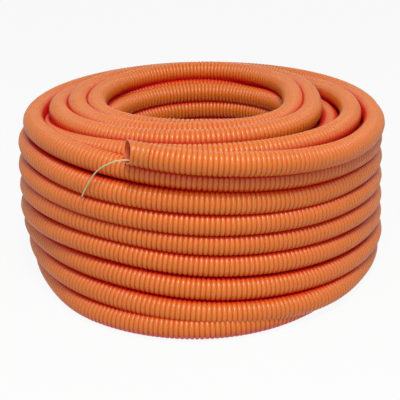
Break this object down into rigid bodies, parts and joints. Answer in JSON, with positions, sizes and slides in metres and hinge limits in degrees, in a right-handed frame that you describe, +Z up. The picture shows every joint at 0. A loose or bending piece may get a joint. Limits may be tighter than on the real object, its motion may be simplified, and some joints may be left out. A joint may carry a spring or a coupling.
{
  "type": "coil of corrugated electrical conduit",
  "caption": "Coil of orange 25 mm corrugated electrical conduit, with its free end on top and a draw cord coming out of it.",
  "frame": {"origin": "on the axis of the coil's eye, at the floor that it lies on", "axes": "+Z up along the coil's axis, -Y towards the front, where the free end crosses, +X to the right"},
  "size_m": [0.438, 0.4456, 0.2079],
  "materials": {
    "conduit": "satin",
    "draw_cord": "satin"
  },
  "bodies": {
    "root": {"conduit": "conduit", "draw_cord": "draw_cord"}
  },
  "joints": []
}
